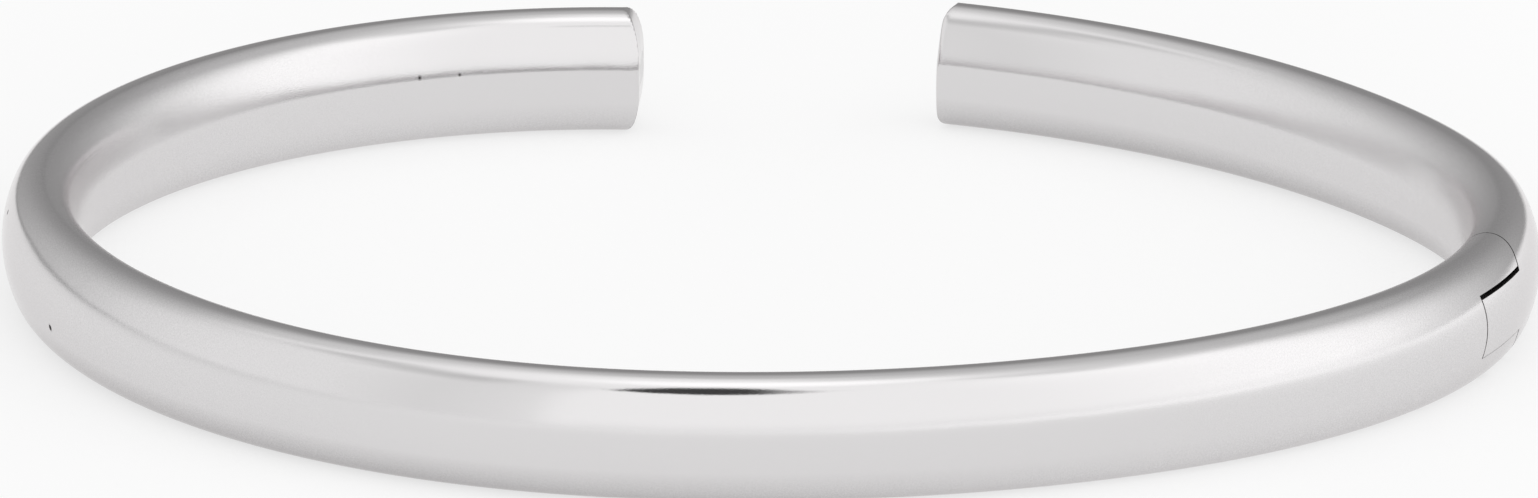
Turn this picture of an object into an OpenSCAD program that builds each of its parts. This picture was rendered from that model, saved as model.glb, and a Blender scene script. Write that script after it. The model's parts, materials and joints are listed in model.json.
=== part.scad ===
// Hinged oval cuff bangle, lying flat.
// A long arm runs from the hinge at the right front, round the front and the left side,
// to its free end at the back. A short arm closes the right rear. The two free ends leave
// a mouth for the wrist, and the short arm swings outward about an upright pin.
// +X is to the right, +Y to the back, +Z up. The origin is on the surface the bangle lies
// on, under the middle of its outline. All sizes are in millimetres.

/* [Band section] */
// height of the band, from the surface it lies on
band_height = 5.2; // [3:0.1:9]
// radius of the rounded top and bottom edges
edge_radius = 1.3; // [0.8:0.05:1.45]
// how far the outer face swells beyond the edge rounding
outer_swell = 0.3; // [0.1:0.05:0.8]
// how far the inner face swells beyond the edge rounding
inner_swell = 0.2; // [0.08:0.01:0.5]

/* [Long arm path] */
// angle that the right side's curve goes on for past the pin, into the long arm
hinge_angle = 8.5; // [6:0.1:12]
// radius of the path from there to the front
right_front_radius = 23.1; // [18:0.1:30]
// angle that this part turns through
right_front_angle = 26.1; // [20:0.1:32]
// radius of the flat front
front_radius = 37; // [30:0.1:45]
// angle that the front turns through
front_angle = 40.2; // [34:0.1:46]
// radius from the front to the left side
left_front_radius = 27.7; // [24:0.1:32]
// angle that this part turns through
left_front_angle = 69.4; // [60:0.1:74]
// radius from the left side round to the free end
left_rear_radius = 22.7; // [20:0.1:27]
// angle that this part turns through
left_rear_angle = 106.8; // [96:0.1:112]

/* [Short arm path] */
// radius of the path from the hinge round the right side
right_side_radius = 19.6; // [17:0.1:25]
// angle that this part turns through
right_side_angle = 48.7; // [42:0.1:54]
// radius of the right rear
right_rear_radius = 35.7; // [30:0.1:45]
// angle that this part turns through
right_rear_angle = 44.3; // [38:0.1:48]

/* [Free ends] */
// rounding of the rims of the two free ends
end_rounding = 0.6; // [0.2:0.05:1]

/* [Hinge] */
// direction that the hinge faces, in degrees from +X
hinge_bearing = -22.5; // [-35:0.5:-5]
// radius of the knuckle ends about the pin
knuckle_radius = 2.4; // [1.9:0.1:3.5]
// height of the short arm's tongue between the long arm's knuckles
tongue_height = 2.5; // [1.5:0.1:3]
// gap between the round knuckle ends and their seats
seam_gap = 0.08; // [0.05:0.01:0.2]
// gap over and under the tongue
slot_gap = 0.12; // [0.05:0.01:0.25]
// radius of the pin
pin_radius = 0.6; // [0.4:0.05:0.9]
// clearance round the pin in the tongue that turns on it
pin_clearance = 0.04; // [0.02:0.01:0.1]
// clearance round the pin in the knuckles that hold it
knuckle_clearance = 0.01; // [0.005:0.005:0.03]
// metal left over the top of the pin
pin_cover = 0.6; // [0.4:0.1:1]
// how far the pin's foot stops short of the underside
pin_recess = 0.15; // [0.1:0.05:0.4]

/* [Hidden] */
$fn = 96;

silver = [0.82, 0.81, 0.80];
long_path = [
    [right_side_radius, hinge_angle],
    [right_front_radius, right_front_angle],
    [front_radius, front_angle],
    [left_front_radius, left_front_angle],
    [left_rear_radius, left_rear_angle],
];
short_path = [
    [right_side_radius, right_side_angle],
    [right_rear_radius, right_rear_angle],
];

// section: the path runs through the centres of the two edge roundings
half_height = band_height / 2;
edge_centre = half_height - edge_radius;
outer_depth = edge_radius + outer_swell;
inner_depth = edge_radius + inner_swell;
outer_face_radius = face_radius(outer_depth, outer_swell);
inner_face_radius = face_radius(inner_depth, inner_swell);
pin_offset = (outer_depth - inner_depth) / 2;

// angle of the right side's curve that takes in the round ends about the pin
knuckle_angle = 2 * asin((knuckle_radius + seam_gap) / (2 * (right_side_radius - inner_depth))) + 1;
// the rim's rounding is this much wider than the band, so that it crosses the faces at an angle
rim_spread = 0.03;

// radius of the face that meets both edge roundings without a step
function face_radius(depth, swell) =
    (depth * depth + edge_centre * edge_centre - edge_radius * edge_radius) / (2 * swell);

function toward(angle) = [cos(angle), sin(angle)];

// where arc i of a path starts, from the hinge: [point, angle the band's outer face looks to]
function arc_start(path, i, turn) =
    i == 0 ? [[0, 0], hinge_bearing]
    : let (before = arc_start(path, i - 1, turn), next = before[1] + turn * path[i - 1][1])
        [arc_centre(path, i - 1, turn) + path[i - 1][0] * toward(next), next];

function arc_centre(path, i, turn) =
    let (start = arc_start(path, i, turn)) start[0] - path[i][0] * toward(start[1]);

// where the band faces straight along X or Y
function far_sides(path, turn) = [
    for (i = [0:len(path) - 1])
        let (from = arc_start(path, i, turn)[1], to = from + turn * path[i][1])
            for (angle = [-360:90:360], depth = [outer_depth, -inner_depth])
                if (angle > min(from, to) && angle < max(from, to))
                    arc_centre(path, i, turn) + (path[i][0] + depth) * toward(angle)
];

// the round corners of a free end, at their furthest along X and Y
function far_corners(path, turn) =
    let (end = arc_start(path, len(path), turn), out = toward(end[1] + 90 * turn)) [
        for (depth = [outer_depth - end_rounding, end_rounding - inner_depth], angle = [0:90:270])
            end[0] + depth * toward(end[1]) - end_rounding * out + end_rounding * toward(angle)
    ];

far_points = concat(
    far_sides(long_path, -1), far_corners(long_path, -1),
    far_sides(short_path, 1), far_corners(short_path, 1)
);
far_x = [for (p = far_points) p[0]];
far_y = [for (p = far_points) p[1]];
middle = [(min(far_x) + max(far_x)) / 2, (min(far_y) + max(far_y)) / 2];

module edge_roundings() {
    for (side = [-1, 1]) translate([0, side * edge_centre]) circle(edge_radius);
}

// where the two faces leave the edge rounding, seen from the edge centre
module face_limits() {
    out = toward(atan2(edge_centre, outer_face_radius - outer_depth));
    in = toward(atan2(edge_centre, inner_face_radius - inner_depth));
    a = [edge_radius * out[0], edge_centre + edge_radius * out[1]];
    b = [-edge_radius * in[0], edge_centre + edge_radius * in[1]];
    polygon([a, b, [-2 * inner_depth, 0], [b[0], -b[1]], [a[0], -a[1]], [2 * outer_depth, 0]]);
}

// oval section of the band: x is outward, y is up
module band_section() {
    edge_roundings();
    intersection() {
        translate([outer_depth - outer_face_radius, 0]) circle(outer_face_radius);
        translate([inner_face_radius - inner_depth, 0]) circle(inner_face_radius);
        face_limits();
    }
}

// moves in two steps, a round one and a fine one, so that the arcs of a path meet exactly
module move_to(point) {
    near = [for (v = point) round(100 * v) / 100];
    translate(near) translate(point - near) children();
}

// a whole arm's band, which starts a little beyond the pin; a ball inside each meeting of two arcs
// makes them one piece
module band(path, turn) {
    for (i = [0:len(path) - 1]) {
        if (i > 0) move_to(arc_start(path, i, turn)[0]) sphere(edge_radius / 2);
        lead = i == 0 ? knuckle_angle : 0;
        from = arc_start(path, i, turn)[1] - turn * lead;
        angle = lead + path[i][1];
        move_to(arc_centre(path, i, turn))
            rotate_extrude(angle = angle, start = turn > 0 ? from : from - angle)
                translate([path[i][0], 0]) band_section();
    }
}

// moves its children to a free end: x is outward across the band, y is out of the end
module at_free_end(path, turn) {
    end = arc_start(path, len(path), turn);
    translate(end[0]) rotate(end[1]) mirror([0, turn > 0 ? 0 : 1]) children();
}

// what the rounded rims take off a free end
module end_trim() {
    reach = 2 * end_rounding;
    wide = outer_depth + inner_depth;
    difference() {
        translate([-wide, -end_rounding, -band_height]) cube([2 * wide, reach, 2 * band_height]);
        intersection() {
            translate([pin_offset - wide, 0, 0]) rotate([90, 0, 90]) linear_extrude(2 * wide)
                rounded_end(band_height + rim_spread);
            translate([pin_offset, 0, -band_height]) rotate(90) linear_extrude(2 * band_height)
                rounded_end(wide + rim_spread);
        }
    }
}

// outline of a rounded end: x is out of the end, y across it
module rounded_end(across) {
    translate([-4 * end_rounding, -across / 2]) square([3 * end_rounding, across]);
    translate([-2 * end_rounding, end_rounding - across / 2])
        square([2 * end_rounding, across - 2 * end_rounding]);
    for (side = [-1, 1])
        translate([-end_rounding, side * (across / 2 - end_rounding)]) circle(end_rounding);
}

module at_pin() {
    rotate(hinge_bearing) translate([pin_offset, 0, 0]) children();
}

module round_about_pin(radius, height) {
    at_pin() cylinder(r = radius, h = height, center = true);
}

// the bore turns with the tongue; in the knuckles it holds the pin
module pin_bore(clearance) {
    at_pin() translate([0, 0, -band_height])
        cylinder(r = pin_radius + clearance, h = band_height + half_height - pin_cover);
}

// what an arm leaves to the other one beyond the pin: all but a round end of that height
module beyond_pin(turn, height) {
    wide = outer_depth + inner_depth;
    reach = 2 * (knuckle_radius + seam_gap);
    difference() {
        at_pin() mirror([0, turn > 0 ? 1 : 0])
            translate([-wide, 0, -band_height]) cube([2 * wide, reach, 2 * band_height]);
        round_about_pin(knuckle_radius, height);
    }
}

module long_arm() {
    color(silver) translate([-middle[0], -middle[1], half_height]) difference() {
        band(long_path, -1);
        beyond_pin(-1, 3 * band_height);
        round_about_pin(knuckle_radius + seam_gap, tongue_height + 2 * slot_gap);
        pin_bore(knuckle_clearance);
        at_free_end(long_path, -1) end_trim();
    }
}

module short_arm() {
    color(silver) translate([-middle[0], -middle[1], half_height]) difference() {
        band(short_path, 1);
        beyond_pin(1, tongue_height);
        for (side = [-1, 1])
            translate([0, 0, side * (tongue_height / 2 + band_height)])
                round_about_pin(knuckle_radius + seam_gap, 2 * band_height);
        pin_bore(pin_clearance);
        at_free_end(short_path, 1) end_trim();
    }
}

module hinge_pin() {
    color(silver) translate([-middle[0], -middle[1], 0])
        at_pin() translate([0, 0, pin_recess])
            cylinder(r = pin_radius, h = band_height - pin_cover - pin_recess - knuckle_clearance);
}

long_arm();
short_arm();
hinge_pin();
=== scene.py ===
"""Looks of a hinged oval cuff bangle in polished silver.

Each arm is an oval band swept along one eased path and cut to the round knuckles of an upright-pin hinge.
Named sizes are in millimetres. +X is right, +Y the back, +Z up, and the bangle lies on z = 0.
"""
import json
import math

import bpy
import numpy as np
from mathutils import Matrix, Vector


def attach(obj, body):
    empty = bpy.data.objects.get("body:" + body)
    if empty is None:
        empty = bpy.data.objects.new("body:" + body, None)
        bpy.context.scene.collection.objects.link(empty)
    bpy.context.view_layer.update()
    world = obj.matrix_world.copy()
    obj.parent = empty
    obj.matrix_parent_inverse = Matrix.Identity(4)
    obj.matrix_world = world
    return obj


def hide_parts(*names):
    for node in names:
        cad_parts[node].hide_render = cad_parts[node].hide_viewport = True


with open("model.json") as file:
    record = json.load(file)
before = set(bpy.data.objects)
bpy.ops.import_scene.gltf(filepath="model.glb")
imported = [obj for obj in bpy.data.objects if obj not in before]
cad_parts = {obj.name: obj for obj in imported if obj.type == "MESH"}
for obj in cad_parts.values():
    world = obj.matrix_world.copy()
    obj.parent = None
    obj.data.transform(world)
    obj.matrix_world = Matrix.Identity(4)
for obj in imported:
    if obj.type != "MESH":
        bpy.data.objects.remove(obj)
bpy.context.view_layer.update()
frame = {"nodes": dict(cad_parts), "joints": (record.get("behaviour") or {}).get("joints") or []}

MM = 0.001

# path of the whole ring, from the short arm's free end round to the long arm's: radius, angle turned
PATH_ARCS = [(36.02, 43.8), (19.55, 67.71), (27.36, 21.54), (38.16, 32.69), (27.73, 71.4), (22.63, 106.94)]
PATH_EASE = 2.5            # how gently one curve runs into the next
PIN_ALONG_PATH = 44.24     # from the short arm's free end to the pin
HINGE_BEARING = -22.41     # direction that the hinge faces
PAST_PIN = 4.2             # how far each band runs past the pin before it is cut

BAND_HEIGHT = 5.2
EDGE_RADIUS = 1.3
OUTER_SWELL = 0.3
INNER_SWELL = 0.2
SECTION_EASE = 0.12        # how gently the faces run into the edges
RIDGE_ANGLE = 11.0         # how much the inner face turns at its soft middle ridge
RIDGE_WIDTH = 0.10
RIDGE_HEIGHT = 0.30        # of the ridge above the middle
SECTION_POINTS = 128

# free ends, of the long arm and of the short arm
END_DEPTH = {-1: 0.75, 1: 0.35}    # how far the rounding reaches along the band
END_LOW = {-1: 0.77, 1: 0.25}      # share that it takes off the height
END_THIN = {-1: 0.05, 1: 0.14}     # share that it takes off the thickness
END_LEAN = {-1: 0.0, 1: 0.055}     # how much longer the end is at its foot
LEAN_REACH = 4.0

KNUCKLE_RADIUS = 2.42
TONGUE_BOTTOM = 1.44
TONGUE_TOP = 3.87
SEAM_GAP = 0.06
SEAT_SHIFT = 0.045         # how far the short arm's seats lie outward of the pin
SLOT_GAP_TOP = 0.20
SLOT_GAP_BOTTOM = 0.02
PIN_BORE = 0.62
PIN_TOP = 4.6

# worn marks: where, and how wide; a pit is a real hollow, a stain is only on the surface
PITS = [((-28.783, -8.609, 1.86), 0.115), ((-30.753, 0.011, 3.994), 0.09)]
STAINS = [((-14.472, 21.454, 3.088), 0.08), ((-12.827, 22.013, 3.056), 0.06)]

# brightness of the light tent's wall by direction: 0 is the front, positive is to the right
TENT_WALL = [
    (-180, 0.34), (-168, 0.40), (-156, 0.49), (-144, 0.58), (-132, 0.67), (-120, 0.79), (-108, 0.92),
    (-96, 0.98), (-84, 1.01), (-66, 1.01), (-48, 0.92), (-36, 0.97), (-30, 1.02), (-26, 1.17),
    (30, 1.18), (36, 1.20), (50, 1.27), (66, 1.34), (80, 1.34), (92, 1.25), (105, 1.00),
    (115, 0.83), (121, 0.74), (131, 0.60), (141, 0.50), (152, 0.43), (163, 0.37), (180, 0.33),
]
TENT_BRIGHTEST = 1.5
TENT_HAZE = (0.30, 0.65)   # least light low and high on the wall
TENT_CEILING = 1.16
TENT_ZENITH = 1.45
# patches of the tent, darker (under 1) or lighter: left, right, low, high, softness, share of the light
TENT_PATCHES = [
    (-104, -50, 52, 64, 6, 0.74),
    (-172, -112, 46, 62, 7, 1.22),
    (66, 172, 62, 76, 8, 0.76),
    (-76, -46, 44, 54, 5, 0.86),
    (-20, 14, 59, 63, 3, 0.72),
    (-26, 104, -20, 3, 6, 0.90),
]

# where the floor's glow is painted lighter or darker: across (0) or along (1), from, to (metres), by how much
FLOOR_TURNS = [
    (1, -0.035, -0.12, 0.10),
    (1, 0.043, 0.13, -0.50),
    (0, 0.02, 0.11, 0.24),
    (0, -0.034, -0.12, -0.12),
]
# painted light: the floor glows, which lightens the shade that the bangle casts on it
FLOOR_GLOW = 0.64
FLOOR_TONE = (0.33, 0.33, 0.33, 1)

# black card that the front's top edge mirrors
FLAG_PLACE = (-3.1, -35.0, 19.3)
FLAG_WIDTH = 15.8
FLAG_DEPTH = 17.0
FLAG_TILT = 150.0
FLAG_LIGHT = 0.06          # what little light the card gives

# the metal: the lighter and the darker tone of its grain, and its roughness
POLISHED = ((0.718, 0.706, 0.710, 1), (0.688, 0.676, 0.680, 1), 0.10)
TARNISHED = ((0.16, 0.15, 0.15, 1), (0.08, 0.075, 0.075, 1), 0.40)
STAIN_TONE = (0.04, 0.035, 0.035, 1)
EDGE_TINT = (0.92, 0.91, 0.91, 1)  # of the metal where it is seen edge on
# size of the pattern (the larger, the finer), strength, depth in metres
WAVES = (260.0, 0.05, 0.0004)
GRAIN = (18000.0, 0.10, 0.00002)
MARK_REACH = 1.7           # how far round a mark the tarnish fades out, in times its width
MARK_DULLING = 0.3
BENDS = (0.018, 0.024)     # metres from the middle where the two tight bends begin and are at their full
BEND_DULLING = 0.14
SIDES = (0.014, 0.027)     # the same for the coarser grain of the two sides
FOOT_GRAIN_AND_SHADE = (0.0015, 0.0002)    # height where the coarser grain and the painted shade of the foot begin and are at their full
MORE_GRAIN = 8.0           # how many times coarser the grain gets there
FOOT_PAINTED_SHADE = (-1.5, -6.5)      # least and most painted shade at the foot, in steps from the lighter tone to the darker

PHOTO_WIDTH = 1538
FOCAL_PIXELS = 21367
CAMERA_AIM = (-0.044, -1.47, 2.6)
CAMERA_SHIFT = 0.293       # how far up the picture the aim is moved
CAMERA_ELEVATION = 17.505  # degrees
CAMERA_DISTANCE = 0.861    # metres

PIN = Vector(frame["joints"][0]["pos_m"]) / MM


def toward(angle):
    return np.stack([np.cos(angle), np.sin(angle)], -1)


def running_sum(rate, step):
    return np.concatenate([[0.0], np.cumsum((rate[1:] + rate[:-1]) / 2 * step)])


def eased_path(step=0.02):
    """Distance along the whole ring, and points in plan."""
    lengths = [radius * math.radians(turned) for radius, turned in PATH_ARCS]
    ends = np.cumsum(lengths)
    count = int(round(ends[-1] / step)) + 1
    along = np.linspace(0.0, ends[-1], count)
    step = along[1]
    bend = np.full(count, 1 / PATH_ARCS[0][0])
    for (before, _), (after, _), at in zip(PATH_ARCS, PATH_ARCS[1:], ends):
        share = np.array([0.5 + 0.5 * math.erf(v) for v in (along - at) / (PATH_EASE * math.sqrt(2))])
        bend += (1 / after - 1 / before) * share
    angle = -running_sum(bend, step)
    angle += math.radians(HINGE_BEARING) - np.interp(PIN_ALONG_PATH, along, angle)
    plan = np.stack([running_sum(np.sin(angle), step), running_sum(-np.cos(angle), step)], -1)
    at_pin = np.array([np.interp(PIN_ALONG_PATH, along, plan[:, k]) for k in (0, 1)])
    middle_of_band = (OUTER_SWELL - INNER_SWELL) / 2
    plan += np.array(PIN[:2]) - middle_of_band * toward(math.radians(HINGE_BEARING)) - at_pin
    return along, plan


ALONG, PLAN = eased_path()


def face_radius(depth, swell):
    centre = BAND_HEIGHT / 2 - EDGE_RADIUS
    return (depth ** 2 + centre ** 2 - EDGE_RADIUS ** 2) / (2 * swell)


def smoothed(values, width, step):
    """A closed run of values, eased over a width."""
    count = len(values)
    distance = np.minimum(np.arange(count), count - np.arange(count)) * step
    kernel = np.exp(-0.5 * (distance / width) ** 2)
    return np.real(np.fft.ifft(np.fft.fft(values) * np.fft.fft(kernel / kernel.sum())))


def eased_section(count=4096):
    """The band's section from the middle of its outer face over the top, x outward, and its angle."""
    centre = BAND_HEIGHT / 2 - EDGE_RADIUS
    outer_depth, inner_depth = EDGE_RADIUS + OUTER_SWELL, EDGE_RADIUS + INNER_SWELL
    outer, inner = face_radius(outer_depth, OUTER_SWELL), face_radius(inner_depth, INNER_SWELL)
    outer_turn = math.atan2(centre, outer - outer_depth)
    inner_turn = math.atan2(centre, inner - inner_depth)
    edge = (EDGE_RADIUS, math.pi - outer_turn - inner_turn)
    runs = [(outer, outer_turn), edge, (inner, 2 * inner_turn), edge, (outer, outer_turn)]
    ends = np.concatenate([[0.0], np.cumsum([radius * turned for radius, turned in runs])])
    turns = np.concatenate([[0.0], np.cumsum([turned for _, turned in runs])])
    step = ends[-1] / count
    along = np.arange(count) * step
    even = 2 * math.pi * along / ends[-1]
    angle = even + smoothed(np.interp(along, ends, turns) - even, SECTION_EASE, step)
    away = along - (ends[-1] / 2 - RIDGE_HEIGHT)
    ridge = np.tanh(away / RIDGE_WIDTH) - np.clip(away / (inner * inner_turn), -1, 1)
    angle += math.radians(RIDGE_ANGLE) / 2 * ridge
    x, y = np.cumsum(-np.sin(angle)) * step, np.cumsum(np.cos(angle)) * step
    share = np.arange(1, count + 1) / count
    x, y = x - share * x[-1], y - share * y[-1]
    x = (x - x.min()) / np.ptp(x) * (outer_depth + inner_depth) - inner_depth
    y = (y - y.min()) / np.ptp(y) * BAND_HEIGHT - BAND_HEIGHT / 2
    return np.stack([x, y], -1), np.unwrap(angle)


def section_points():
    """Fewer points of the section, closer together where it turns."""
    points, angle = eased_section()
    weight = angle / (2 * math.pi) + 0.9 * np.arange(len(angle)) / len(angle)
    wanted = np.arange(SECTION_POINTS) / SECTION_POINTS * weight[-1]
    picks = np.interp(wanted, weight, np.arange(len(weight)))
    return points[np.round(picks).astype(int)]


def path_marks(length, side):
    """Distances from the band's cut to the free end, closer together at the hinge and the rounding."""
    hinge = np.arange(0.0, 2 * PAST_PIN, 0.12)
    turn = np.linspace(0.0, math.pi / 2, 14)
    rim = length - END_DEPTH[side] * (1 - np.sin(turn))
    rest = np.linspace(hinge[-1], rim[0], int((rim[0] - hinge[-1]) / 0.3))
    return np.concatenate([hinge, rest[1:-1], rim])


def arm_path(turn):
    """One arm's path in plan, from past the pin to its end. turn is 1 for the short arm, -1 for the long."""
    length = PIN_ALONG_PATH if turn > 0 else ALONG[-1] - PIN_ALONG_PATH
    along = PIN_ALONG_PATH - turn * (path_marks(length + PAST_PIN, turn) - PAST_PIN)
    return np.stack([np.interp(along, ALONG, PLAN[:, k]) for k in (0, 1)], -1)


def node(tree, kind, inputs=None, **settings):
    made = tree.nodes.new(kind)
    for name, value in settings.items():
        setattr(made, name, value)
    for key, value in (inputs or {}).items():
        socket = made.inputs[key]
        if isinstance(value, bpy.types.NodeSocket):
            tree.links.new(value, socket)
        elif isinstance(value, bpy.types.Node):
            tree.links.new(value.outputs[0], socket)
        else:
            socket.default_value = value
    return made


def maths(tree, operation, *values):
    return node(tree, "ShaderNodeMath", dict(enumerate(values)), operation=operation).outputs[0]


def vector_maths(tree, operation, *values):
    made = node(tree, "ShaderNodeVectorMath", dict(enumerate(values)), operation=operation)
    return made.outputs["Value" if operation in ("DOT_PRODUCT", "LENGTH") else "Vector"]


def vector(tree, **parts):
    return node(tree, "ShaderNodeCombineXYZ", parts).outputs[0]


def ramp(tree, value, start, end, low=0.0, high=1.0, kind="LINEAR"):
    """low up to the start, high from the end on."""
    return node(tree, "ShaderNodeMapRange", {
        "Value": value, "From Min": start, "From Max": end, "To Min": low, "To Max": high},
        interpolation_type=kind).outputs[0]


ARM_INPUTS = {
    "NodeSocketObject": ["Section"],
    "NodeSocketFloat": [
        "End depth", "End low", "End thin", "End lean", "Lean reach", "Hinge bearing", "Past the pin",
        "Knuckle radius", "Seam gap", "Round end bottom", "Round end top", "Seat bottom", "Seat top",
        "Second seat bottom", "Second seat top", "Bore radius", "Bore top", "Half height", "Pit radius",
        "Second pit radius"],
    "NodeSocketVector": ["Pin", "Seat shift", "Pit", "Second pit"],
    "NodeSocketMaterial": ["Metal", "Seam metal"],
}


def upright_cylinder(tree, pin, radius, bottom, top, sides=256):
    """A cylinder about the pin between two heights."""
    depth = maths(tree, "SUBTRACT", top, bottom)
    made = node(tree, "GeometryNodeMeshCylinder", {"Vertices": sides, "Radius": radius, "Depth": depth})
    flat = vector_maths(tree, "MULTIPLY", pin, (1.0, 1.0, 0.0))
    middle = maths(tree, "MULTIPLY", maths(tree, "ADD", top, bottom), 0.5)
    place = vector_maths(tree, "ADD", flat, vector(tree, Z=middle))
    moved = node(tree, "GeometryNodeTransform", {"Geometry": made.outputs["Mesh"], "Translation": place})
    return moved.outputs[0]


def share_left(tree, away, reach):
    """1 at the free end, falling evenly to 0 at the reach from it."""
    left = maths(tree, "SUBTRACT", 1.0, maths(tree, "DIVIDE", away, reach))
    return maths(tree, "MAXIMUM", left, 0.0)


def swept_band(tree, given):
    """The section swept along the path, closed at both ends and rounded off at the free one."""
    section = node(tree, "GeometryNodeObjectInfo", {"Object": given["Section"]}).outputs["Geometry"]
    upright = node(tree, "GeometryNodeSetCurveNormal", {"Curve": given["Geometry"]}, mode="Z_UP")
    kept = node(tree, "GeometryNodeCaptureAttribute", {"Geometry": upright}, domain="POINT")
    for kind, name in (("FLOAT", "To end"), ("VECTOR", "Path place"), ("VECTOR", "Ahead")):
        kept.capture_items.new(kind, name)
    to_end = maths(tree, "SUBTRACT", node(tree, "GeometryNodeSplineLength").outputs["Length"],
                   node(tree, "GeometryNodeSplineParameter").outputs["Length"])
    tree.links.new(to_end, kept.inputs["To end"])
    tree.links.new(node(tree, "GeometryNodeInputPosition").outputs[0], kept.inputs["Path place"])
    tree.links.new(node(tree, "GeometryNodeInputTangent").outputs[0], kept.inputs["Ahead"])
    band = node(tree, "GeometryNodeCurveToMesh", {
        "Curve": kept.outputs["Geometry"], "Profile Curve": section, "Fill Caps": True})
    from_end, path_place = kept.outputs["To end"], kept.outputs["Path place"]

    # quarter ellipse: nothing where the rounding starts, all of it at the very end
    into = share_left(tree, from_end, given["End depth"])
    left = maths(tree, "MAXIMUM", maths(tree, "SUBTRACT", 1.0, maths(tree, "MULTIPLY", into, into)), 0.0)
    round_off = maths(tree, "SUBTRACT", 1.0, maths(tree, "SQRT", left))
    thin = maths(tree, "SUBTRACT", 1.0, maths(tree, "MULTIPLY", given["End thin"], round_off))
    low = maths(tree, "SUBTRACT", 1.0, maths(tree, "MULTIPLY", given["End low"], round_off))
    local = vector_maths(tree, "SUBTRACT", node(tree, "GeometryNodeInputPosition").outputs[0], path_place)
    parts = node(tree, "ShaderNodeSeparateXYZ", {0: local}).outputs
    # the height is cut down, not squeezed, so that the faces stay as they are up to the rim
    most = maths(tree, "MULTIPLY", given["Half height"], low)
    least = maths(tree, "MULTIPLY", most, -1.0)
    rounded = vector(
        tree, X=maths(tree, "MULTIPLY", parts[0], thin), Y=maths(tree, "MULTIPLY", parts[1], thin),
        Z=maths(tree, "MAXIMUM", maths(tree, "MINIMUM", parts[2], most), least))

    # the end leans: its foot reaches further than its top
    height = node(tree, "ShaderNodeSeparateXYZ", {0: rounded}).outputs["Z"]
    back = maths(tree, "MULTIPLY", share_left(tree, from_end, given["Lean reach"]), -1.0)
    lean = maths(tree, "MULTIPLY", maths(tree, "MULTIPLY", height, given["End lean"]), back)
    leant = node(tree, "ShaderNodeVectorMath", {0: kept.outputs["Ahead"], "Scale": lean}, operation="SCALE")
    local = vector_maths(tree, "ADD", rounded, leant.outputs["Vector"])
    place = vector_maths(tree, "ADD", path_place, local)
    return node(tree, "GeometryNodeSetPosition", {"Geometry": band, "Position": place}).outputs[0]


def hinge_cutters(tree, given):
    """What the hinge takes off a band: all past the pin but a round end, the other arm's seats, the bore."""
    pin = given["Pin"]
    size = maths(tree, "MULTIPLY", given["Past the pin"], 3.0)
    block = node(tree, "GeometryNodeMeshCube", {"Size": vector(tree, X=size, Y=size, Z=size)})
    aside = node(tree, "GeometryNodeTransform", {
        "Geometry": block.outputs["Mesh"], "Translation": vector(tree, Y=maths(tree, "MULTIPLY", size, 0.5))})
    beyond = node(tree, "GeometryNodeTransform", {
        "Geometry": aside, "Translation": vector_maths(tree, "MULTIPLY", pin, (1.0, 1.0, 0.0)),
        "Rotation": vector(tree, Z=given["Hinge bearing"])})
    round_end = upright_cylinder(
        tree, pin, given["Knuckle radius"], given["Round end bottom"], given["Round end top"])
    other_side = node(tree, "GeometryNodeMeshBoolean", {"Mesh 1": beyond, "Mesh 2": round_end},
                      operation="DIFFERENCE", solver="EXACT").outputs["Mesh"]
    seat_radius = maths(tree, "ADD", given["Knuckle radius"], given["Seam gap"])
    seat = vector_maths(tree, "ADD", pin, given["Seat shift"])
    return [
        other_side,
        upright_cylinder(tree, seat, seat_radius, given["Seat bottom"], given["Seat top"]),
        upright_cylinder(tree, seat, seat_radius, given["Second seat bottom"], given["Second seat top"]),
        upright_cylinder(tree, pin, given["Bore radius"], -1.0 * MM, given["Bore top"], sides=64),
    ]


def pit_cutter(tree, place, radius):
    """A ball let into the face by about a third of its radius."""
    ball = node(tree, "GeometryNodeMeshIcoSphere", {"Radius": radius, "Subdivisions": 4}).outputs["Mesh"]
    return node(tree, "GeometryNodeTransform", {"Geometry": ball, "Translation": place}).outputs[0]


def arm_tree():
    tree = bpy.data.node_groups.new("bangle_arm", "GeometryNodeTree")
    tree.interface.new_socket("Geometry", in_out="INPUT", socket_type="NodeSocketGeometry")
    for kind, names in ARM_INPUTS.items():
        for name in names:
            tree.interface.new_socket(name, in_out="INPUT", socket_type=kind)
    tree.interface.new_socket("Geometry", in_out="OUTPUT", socket_type="NodeSocketGeometry")
    given = tree.nodes.new("NodeGroupInput").outputs
    band = swept_band(tree, given)
    cut = node(tree, "GeometryNodeSetMaterial", {"Geometry": band, "Material": given["Metal"]}).outputs[0]
    cutters = hinge_cutters(tree, given)
    cutters.append(pit_cutter(tree, given["Pit"], given["Pit radius"]))
    cutters.append(pit_cutter(tree, given["Second pit"], given["Second pit radius"]))
    for cutter in cutters:
        # the faces that a cutter leaves are of tarnished metal
        dull = node(tree, "GeometryNodeSetMaterial", {"Geometry": cutter, "Material": given["Seam metal"]})
        cut = node(tree, "GeometryNodeMeshBoolean", {"Mesh 1": cut, "Mesh 2": dull.outputs[0]},
                   operation="DIFFERENCE", solver="EXACT").outputs["Mesh"]
    finished = node(tree, "GeometryNodeRealizeInstances", {"Geometry": cut})
    out = tree.nodes.new("NodeGroupOutput")
    tree.links.new(finished.outputs[0], out.inputs["Geometry"])
    return tree


def poly_curve(name, points, closed=False):
    data = bpy.data.curves.new(name, "CURVE")
    data.dimensions = "3D"
    spline = data.splines.new("POLY")
    spline.points.add(len(points) - 1)
    for point, (x, y, z) in zip(spline.points, points):
        point.co = (x * MM, y * MM, z * MM, 1.0)
    spline.use_cyclic_u = closed
    made = bpy.data.objects.new(name, data)
    bpy.context.scene.collection.objects.link(made)
    return made


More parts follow.
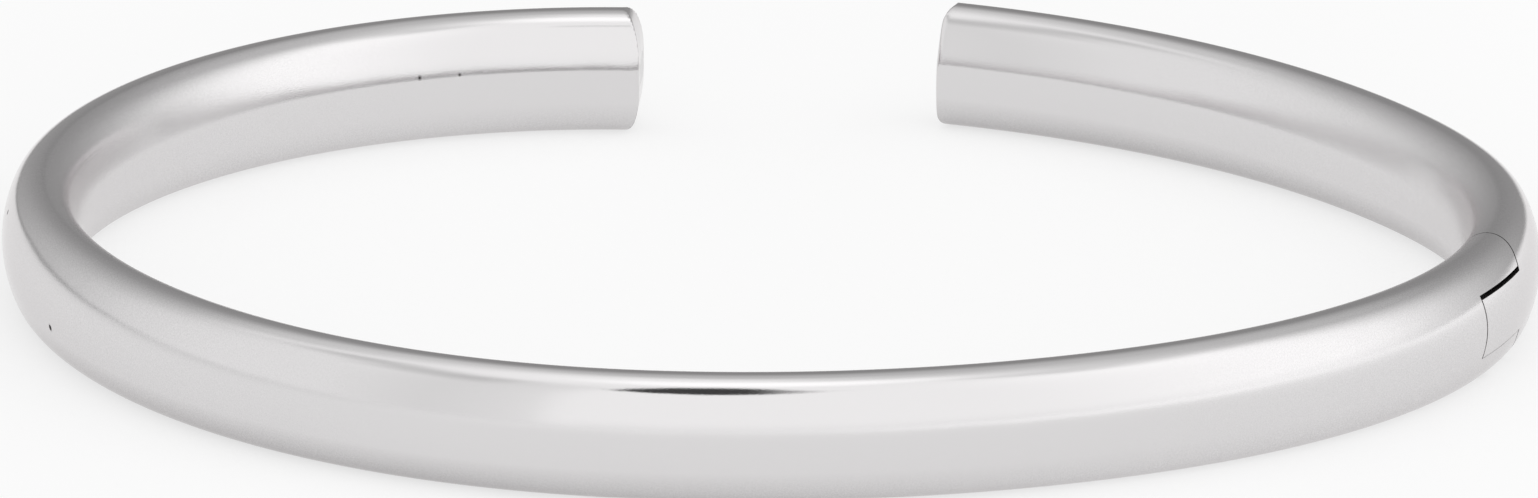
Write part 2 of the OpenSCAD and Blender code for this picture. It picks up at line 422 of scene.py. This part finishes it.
def arm(name, turn, tree, metal, seam_metal):
    """One arm as a plain mesh. turn is 1 for the short arm, -1 for the long one."""
    path = poly_curve(name + "_path", [(x, y, BAND_HEIGHT / 2) for x, y in arm_path(turn)])
    points = section_points()
    # a sweep takes its section upside down, and the long arm's path runs the other way round
    outline = points[::-turn] * (turn, -1)
    section = poly_curve(name + "_section", [(x, y, 0.0) for x, y in outline], closed=True)
    far_down, far_up = -BAND_HEIGHT, 2 * BAND_HEIGHT
    if turn < 0:
        lengths = {
            "Round end bottom": far_down, "Round end top": far_up,
            "Seat bottom": TONGUE_BOTTOM - SLOT_GAP_BOTTOM, "Seat top": TONGUE_TOP + SLOT_GAP_TOP,
            "Second seat bottom": far_down, "Second seat top": far_down / 2}
    else:
        lengths = {
            "Round end bottom": TONGUE_BOTTOM, "Round end top": TONGUE_TOP,
            "Seat bottom": TONGUE_TOP, "Seat top": far_up,
            "Second seat bottom": far_down, "Second seat top": TONGUE_BOTTOM}
    lengths.update({
        "End depth": END_DEPTH[turn], "Lean reach": LEAN_REACH, "Past the pin": PAST_PIN,
        "Knuckle radius": KNUCKLE_RADIUS, "Seam gap": SEAM_GAP, "Bore radius": PIN_BORE, "Bore top": PIN_TOP,
        "Half height": BAND_HEIGHT / 2, "Pit radius": PITS[0][1], "Second pit radius": PITS[1][1]})
    values = {key: value * MM for key, value in lengths.items()}
    values.update({
        "Section": section, "Pin": PIN * MM, "Metal": metal, "Seam metal": seam_metal,
        "End low": END_LOW[turn], "End thin": END_THIN[turn], "End lean": END_LEAN[turn],
        "Seat shift": Vector((*toward(math.radians(HINGE_BEARING)), 0)) * SEAT_SHIFT * MM * max(turn, 0),
        "Pit": Vector(PITS[0][0]) * MM, "Second pit": Vector(PITS[1][0]) * MM,
        "Hinge bearing": math.radians(HINGE_BEARING + (180 if turn > 0 else 0))})
    modifier = path.modifiers.new("arm", "NODES")
    modifier.node_group = tree
    for item in tree.interface.items_tree:
        if item.item_type == "SOCKET" and item.in_out == "INPUT" and item.name in values:
            modifier[item.identifier] = values[item.name]
    bpy.context.view_layer.update()
    worked_out = path.evaluated_get(bpy.context.evaluated_depsgraph_get())
    mesh = bpy.data.meshes.new_from_object(worked_out)
    mesh.name = name
    mesh.shade_smooth()
    mesh.set_sharp_from_angle(angle=math.radians(30))
    for spare in (path, section):
        bpy.data.objects.remove(spare)
    made = bpy.data.objects.new(name, mesh)
    bpy.context.scene.collection.objects.link(made)
    return made


def near_marks(tree, place, marks):
    """1 in the middle of any of the marks, fading to 0 round it."""
    most = 0.0
    for middle, width in marks:
        to_mark = vector_maths(tree, "SUBTRACT", place, tuple(v * MM for v in middle))
        away = vector_maths(tree, "LENGTH", to_mark)
        fade = ramp(tree, away, 0.4 * width * MM, MARK_REACH * width * MM, 1.0, 0.0)
        most = maths(tree, "MAXIMUM", most, fade)
    return most


def noise(tree, place, scale, roughness):
    return node(tree, "ShaderNodeTexNoise", {
        "Vector": place, "Scale": scale, "Detail": 2.0, "Roughness": roughness}).outputs["Fac"]


def silver(name, light, dark, roughness):
    """Silver with a fine grain, slow waves from polishing, a little tarnish in its pits and stains, and
    painted shade at its foot.
    """
    metal = bpy.data.materials.new(name)
    metal.use_nodes = True
    tree = metal.node_tree
    tree.nodes.clear()
    place = node(tree, "ShaderNodeTexCoord").outputs["Object"]
    parts = node(tree, "ShaderNodeSeparateXYZ", {0: place}).outputs
    from_middle = maths(tree, "ABSOLUTE", parts[0])
    outward = vector_maths(tree, "DOT_PRODUCT", node(tree, "ShaderNodeNewGeometry").outputs["Normal"], place)
    inside = maths(tree, "LESS_THAN", outward, 0.0)
    worn = near_marks(tree, place, PITS + STAINS)

    wave = noise(tree, place, WAVES[0], 0.4)
    grain = noise(tree, place, GRAIN[0], 0.6)
    waves = node(tree, "ShaderNodeBump", {"Height": wave, "Strength": WAVES[1], "Distance": WAVES[2]})
    fine = node(tree, "ShaderNodeBump", {
        "Height": grain, "Strength": GRAIN[1], "Distance": GRAIN[2], "Normal": waves.outputs[0]})

    # the inside of the two tight bends is less well polished
    rough = ramp(tree, wave, 0.0, 1.0, roughness * 0.8, roughness * 1.2)
    rough = maths(tree, "MULTIPLY_ADD", worn, MARK_DULLING, rough)
    bend = ramp(tree, from_middle, *BENDS)
    rough = maths(tree, "MULTIPLY_ADD", maths(tree, "MULTIPLY", inside, bend), BEND_DULLING, rough)

    # the grain is coarser round the two sides and at the foot
    side = ramp(tree, from_middle, *SIDES, 0.0, MORE_GRAIN)
    foot_grain_and_shade = ramp(tree, parts[2], *FOOT_GRAIN_AND_SHADE)
    coarse = maths(tree, "MULTIPLY_ADD", foot_grain_and_shade, MORE_GRAIN, maths(tree, "ADD", side, 1.0))
    speck = maths(tree, "MULTIPLY_ADD", maths(tree, "SUBTRACT", grain, 0.5), coarse, 0.5)
    # painted shade: the foot is darker too, for the shaded floor that it mirrors where it stands, most of all
    # outside on the left and inside on the right
    across = maths(tree, "MULTIPLY", parts[0], maths(tree, "MULTIPLY_ADD", inside, -2.0, 1.0))
    painted_foot_shade = ramp(tree, across, SIDES[0], -SIDES[0], *FOOT_PAINTED_SHADE)
    speck = maths(tree, "MULTIPLY_ADD", foot_grain_and_shade, painted_foot_shade, speck)

    tint = node(tree, "ShaderNodeMix", {"Factor": speck, "A": dark, "B": light},
                data_type="RGBA", clamp_factor=False, clamp_result=True)
    stained = node(tree, "ShaderNodeMix", {"Factor": worn, "A": tint.outputs["Result"], "B": STAIN_TONE},
                   data_type="RGBA")
    shader = node(tree, "ShaderNodeBsdfPrincipled", {
        "Metallic": 1.0, "Roughness": rough, "Normal": fine.outputs[0], "Specular Tint": EDGE_TINT})
    tree.links.new(stained.outputs["Result"], shader.inputs["Base Color"])
    out = tree.nodes.new("ShaderNodeOutputMaterial")
    tree.links.new(shader.outputs[0], out.inputs["Surface"])
    return metal


def studio_floor():
    """A pale floor that glows, its glow painted lighter or darker away from the bangle."""
    bpy.ops.mesh.primitive_plane_add(size=6.0, location=(0, 0, -0.00002))
    floor = bpy.context.object
    floor.name = "floor"
    glowing_floor = bpy.data.materials.new("glowing_pale_floor")
    glowing_floor.use_nodes = True
    tree = glowing_floor.node_tree
    shader = tree.nodes["Principled BSDF"]
    place = node(tree, "ShaderNodeSeparateXYZ", {0: node(tree, "ShaderNodeTexCoord").outputs["Object"]})
    glow = FLOOR_GLOW
    for axis, near, far, more in FLOOR_TURNS:
        turned = ramp(tree, place.outputs[axis], near, far, kind="SMOOTHSTEP")
        glow = maths(tree, "MULTIPLY_ADD", turned, more, glow)
    shader.inputs["Base Color"].default_value = FLOOR_TONE
    shader.inputs["Emission Color"].default_value = (1, 1, 1, 1)
    tree.links.new(glow, shader.inputs["Emission Strength"])
    shader.inputs["Roughness"].default_value = 0.9
    shader.inputs["Specular IOR Level"].default_value = 0.1
    floor.data.materials.append(glowing_floor)


def black_flag():
    """A small black card over the front, dark only on its lower side, with a soft right end."""
    bpy.ops.mesh.primitive_plane_add(size=2.0, location=Vector(FLAG_PLACE) * MM)
    card = bpy.context.object
    card.name = "black_flag"
    half_width, half_depth = FLAG_WIDTH / 2 * MM, FLAG_DEPTH / 2 * MM
    for corner in card.data.vertices:
        corner.co.x *= half_width
        corner.co.y *= half_depth
    card.rotation_euler = (math.radians(FLAG_TILT), 0, 0)
    black = bpy.data.materials.new("black_card")
    black.use_nodes = True
    tree = black.node_tree
    tree.nodes.clear()
    place = node(tree, "ShaderNodeTexCoord").outputs["Object"]
    scaled = vector_maths(tree, "DIVIDE", place, (half_width, half_depth, 1.0))
    parts = node(tree, "ShaderNodeSeparateXYZ", {0: scaled})
    across, along = parts.outputs[1], parts.outputs[0]
    # a lens: it narrows evenly to both ends
    width = maths(tree, "SUBTRACT", 1.0, maths(tree, "MULTIPLY", along, along))
    inside = ramp(tree, maths(tree, "SUBTRACT", width, maths(tree, "ABSOLUTE", across)), 0.0, 0.25)
    right_end = ramp(tree, along, 0.95, 0.35)
    solid = maths(tree, "MULTIPLY", inside, right_end)
    facing = maths(tree, "SUBTRACT", 1.0, node(tree, "ShaderNodeNewGeometry").outputs["Backfacing"])
    clear = node(tree, "ShaderNodeBsdfTransparent")
    dark = node(tree, "ShaderNodeEmission", {"Color": (1, 1, 1, 1), "Strength": FLAG_LIGHT})
    mixed = node(tree, "ShaderNodeMixShader", {0: maths(tree, "MULTIPLY", solid, facing), 1: clear, 2: dark})
    node(tree, "ShaderNodeOutputMaterial", {"Surface": mixed})
    card.data.materials.append(black)
    card.visible_camera = card.visible_diffuse = card.visible_shadow = False


def studio_light():
    """A soft tent: bright in front and to the right, dark behind, white overhead."""
    world = bpy.data.worlds.new("light_tent")
    bpy.context.scene.world = world
    world.use_nodes = True
    tree = world.node_tree
    tree.nodes.clear()
    toward_light = node(tree, "ShaderNodeTexCoord").outputs["Generated"]
    parts = node(tree, "ShaderNodeSeparateXYZ", {0: toward_light})
    # right of the front is positive
    backward = maths(tree, "MULTIPLY", parts.outputs[1], -1.0)
    azimuth = maths(tree, "DEGREES", maths(tree, "ARCTAN2", parts.outputs[0], backward))
    height = maths(tree, "DEGREES", maths(tree, "ARCSINE", parts.outputs[2]))

    def step(value, start, end):
        return ramp(tree, value, start, end, kind="SMOOTHSTEP")

    def blend(light, brightness, mask):
        return maths(tree, "MULTIPLY_ADD", maths(tree, "SUBTRACT", brightness, light), mask, light)

    def between(value, start, end, soft):
        rise, fall = step(value, start - soft, start + soft), step(value, end + soft, end - soft)
        return maths(tree, "MULTIPLY", rise, fall)

    wall = node(tree, "ShaderNodeValToRGB", {"Fac": maths(tree, "MULTIPLY_ADD", azimuth, 1 / 360, 0.5)})
    tones = wall.color_ramp.elements
    for _ in TENT_WALL[2:]:
        tones.new(0.5)
    for tone, (at, brightness) in zip(tones, TENT_WALL):
        share = brightness / TENT_BRIGHTEST
        tone.position = at / 360 + 0.5
        tone.color = (share, share, share, 1)
    light = maths(tree, "MULTIPLY", wall.outputs[0], TENT_BRIGHTEST)
    haze = blend(TENT_HAZE[0], TENT_HAZE[1], step(height, 22.0, 54.0))
    light = maths(tree, "MAXIMUM", light, haze)
    light = blend(light, TENT_CEILING, step(height, 54.0, 74.0))
    for left, right, low, high, soft, share in TENT_PATCHES:
        mask = maths(tree, "MULTIPLY", between(azimuth, left, right, soft), between(height, low, high, soft))
        light = blend(light, maths(tree, "MULTIPLY", light, share), mask)
    light = blend(light, TENT_ZENITH, step(height, 74.0, 87.0))
    shine = node(tree, "ShaderNodeBackground", {"Color": light, "Strength": 1.0})
    out = tree.nodes.new("ShaderNodeOutputWorld")
    tree.links.new(shine.outputs[0], out.inputs["Surface"])


def camera():
    """The photograph's view, from a little above.

    It stands no further off than this, because a narrower view would leave the other views empty.
    """
    elevation = math.radians(CAMERA_ELEVATION)
    picture_up = Vector((0, math.sin(elevation), math.cos(elevation)))
    aim = Vector(CAMERA_AIM) * MM + picture_up * CAMERA_SHIFT * MM
    data = bpy.data.cameras.new("camera")
    data.sensor_width = 36.0
    data.lens = 36.0 * FOCAL_PIXELS / PHOTO_WIDTH
    data.clip_start, data.clip_end = 0.1, 20.0
    made = bpy.data.objects.new("camera", data)
    made.location = aim + CAMERA_DISTANCE * Vector((0, -math.cos(elevation), math.sin(elevation)))
    made.rotation_euler = (aim - made.location).to_track_quat("-Z", "Y").to_euler()
    bpy.context.scene.collection.objects.link(made)
    bpy.context.scene.camera = made


def build():
    metal = silver("polished_silver", *POLISHED)
    seam_metal = silver("tarnished_silver", *TARNISHED)
    tree = arm_tree()
    for name, turn, body in (("long_band", -1, "long_arm"), ("short_band", 1, "short_arm")):
        made = arm(name, turn, tree, metal, seam_metal)
        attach(made, body)
        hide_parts(body)
    pin = frame["nodes"]["hinge_pin"]
    pin.data.materials.clear()
    pin.data.materials.append(metal)


build()
studio_floor()
black_flag()
studio_light()
camera()
bpy.context.scene.view_settings.view_transform = "Standard"
